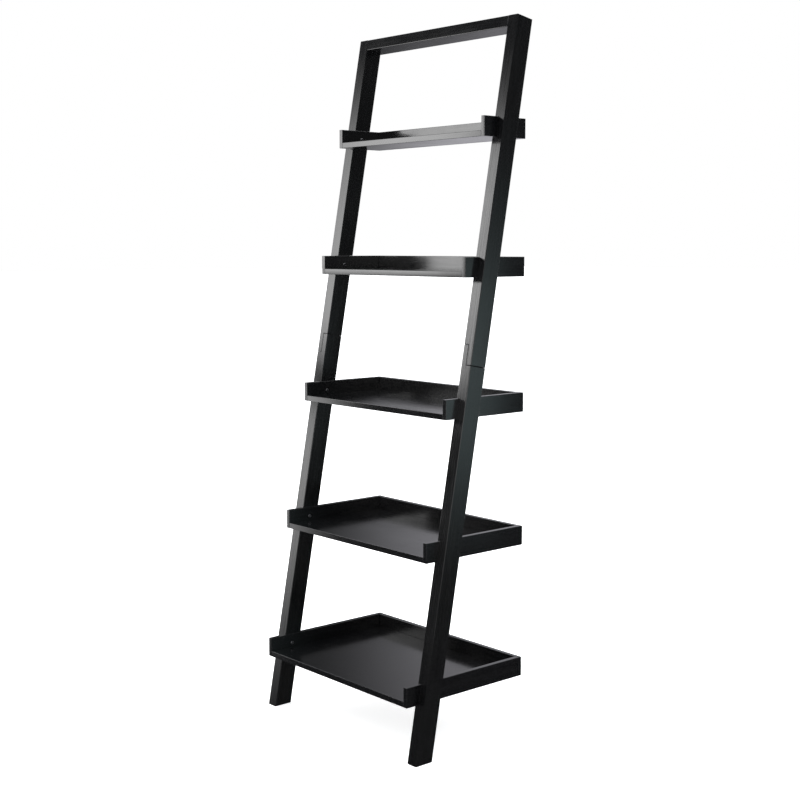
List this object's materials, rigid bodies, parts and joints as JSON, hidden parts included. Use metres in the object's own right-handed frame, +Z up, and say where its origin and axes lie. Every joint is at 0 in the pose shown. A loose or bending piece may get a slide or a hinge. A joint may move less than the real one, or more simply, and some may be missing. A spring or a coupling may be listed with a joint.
{
  "type": "ladder shelf",
  "caption": "Black lacquered wooden ladder shelf that leans on a wall: two lapped rails, a header bar and open-fronted trays that grow deeper towards the floor.",
  "frame": {"origin": "on the floor, at the centre of the shelf's bounding box seen from above", "axes": "+Z up, the open front faces -Y, the wall is at the +Y side, +X to the right as seen from the front"},
  "size_m": [0.625, 0.4034, 1.861],
  "materials": {
    "lacquered_rail": "black gloss lacquer over solid wood, with a faint lengthwise grain",
    "lacquered_tray": "black gloss lacquer over solid wood boards, with eased edges",
    "lacquered_panel": "black gloss lacquer over a flat panel, smooth and mirror-like at a low angle",
    "bolt_steel": "black oxide, satin",
    "insert_zinc": "yellow zinc-plated",
    "dowel_wood": "plain beech"
  },
  "bodies": {
    "root": {"rail_left_lower": "lacquered_rail", "rail_left_upper": "lacquered_rail", "rail_right_lower": "lacquered_rail", "rail_right_upper": "lacquered_rail", "header_bar": "lacquered_rail", "dowel_lap_left_front": "dowel_wood", "dowel_header_left_front": "dowel_wood", "dowel_lap_left_rear": "dowel_wood", "dowel_header_left_rear": "dowel_wood", "dowel_lap_right_front": "dowel_wood", "dowel_header_right_front": "dowel_wood", "dowel_lap_right_rear": "dowel_wood", "dowel_header_right_rear": "dowel_wood", "tray_1_side_left": "lacquered_tray", "tray_1_bolt_left": "bolt_steel", "tray_1_insert_left": "insert_zinc", "tray_1_side_right": "lacquered_tray", "tray_1_bolt_right": "bolt_steel", "tray_1_insert_right": "insert_zinc", "tray_1_back": "lacquered_tray", "tray_1_panel": "lacquered_panel", "tray_2_side_left": "lacquered_tray", "tray_2_bolt_left": "bolt_steel", "tray_2_insert_left": "insert_zinc", "tray_2_side_right": "lacquered_tray", "tray_2_bolt_right": "bolt_steel", "tray_2_insert_right": "insert_zinc", "tray_2_back": "lacquered_tray", "tray_2_panel": "lacquered_panel", "tray_3_side_left": "lacquered_tray", "tray_3_bolt_left": "bolt_steel", "tray_3_insert_left": "insert_zinc", "tray_3_side_right": "lacquered_tray", "tray_3_bolt_right": "bolt_steel", "tray_3_insert_right": "insert_zinc", "tray_3_back": "lacquered_tray", "tray_3_panel": "lacquered_panel", "tray_4_side_left": "lacquered_tray", "tray_4_bolt_left": "bolt_steel", "tray_4_insert_left": "insert_zinc", "tray_4_side_right": "lacquered_tray", "tray_4_bolt_right": "bolt_steel", "tray_4_insert_right": "insert_zinc", "tray_4_back": "lacquered_tray", "tray_4_panel": "lacquered_panel", "tray_5_side_left": "lacquered_tray", "tray_5_bolt_left": "bolt_steel", "tray_5_insert_left": "insert_zinc", "tray_5_side_right": "lacquered_tray", "tray_5_bolt_right": "bolt_steel", "tray_5_insert_right": "insert_zinc", "tray_5_back": "lacquered_tray", "tray_5_panel": "lacquered_panel"}
  },
  "joints": []
}
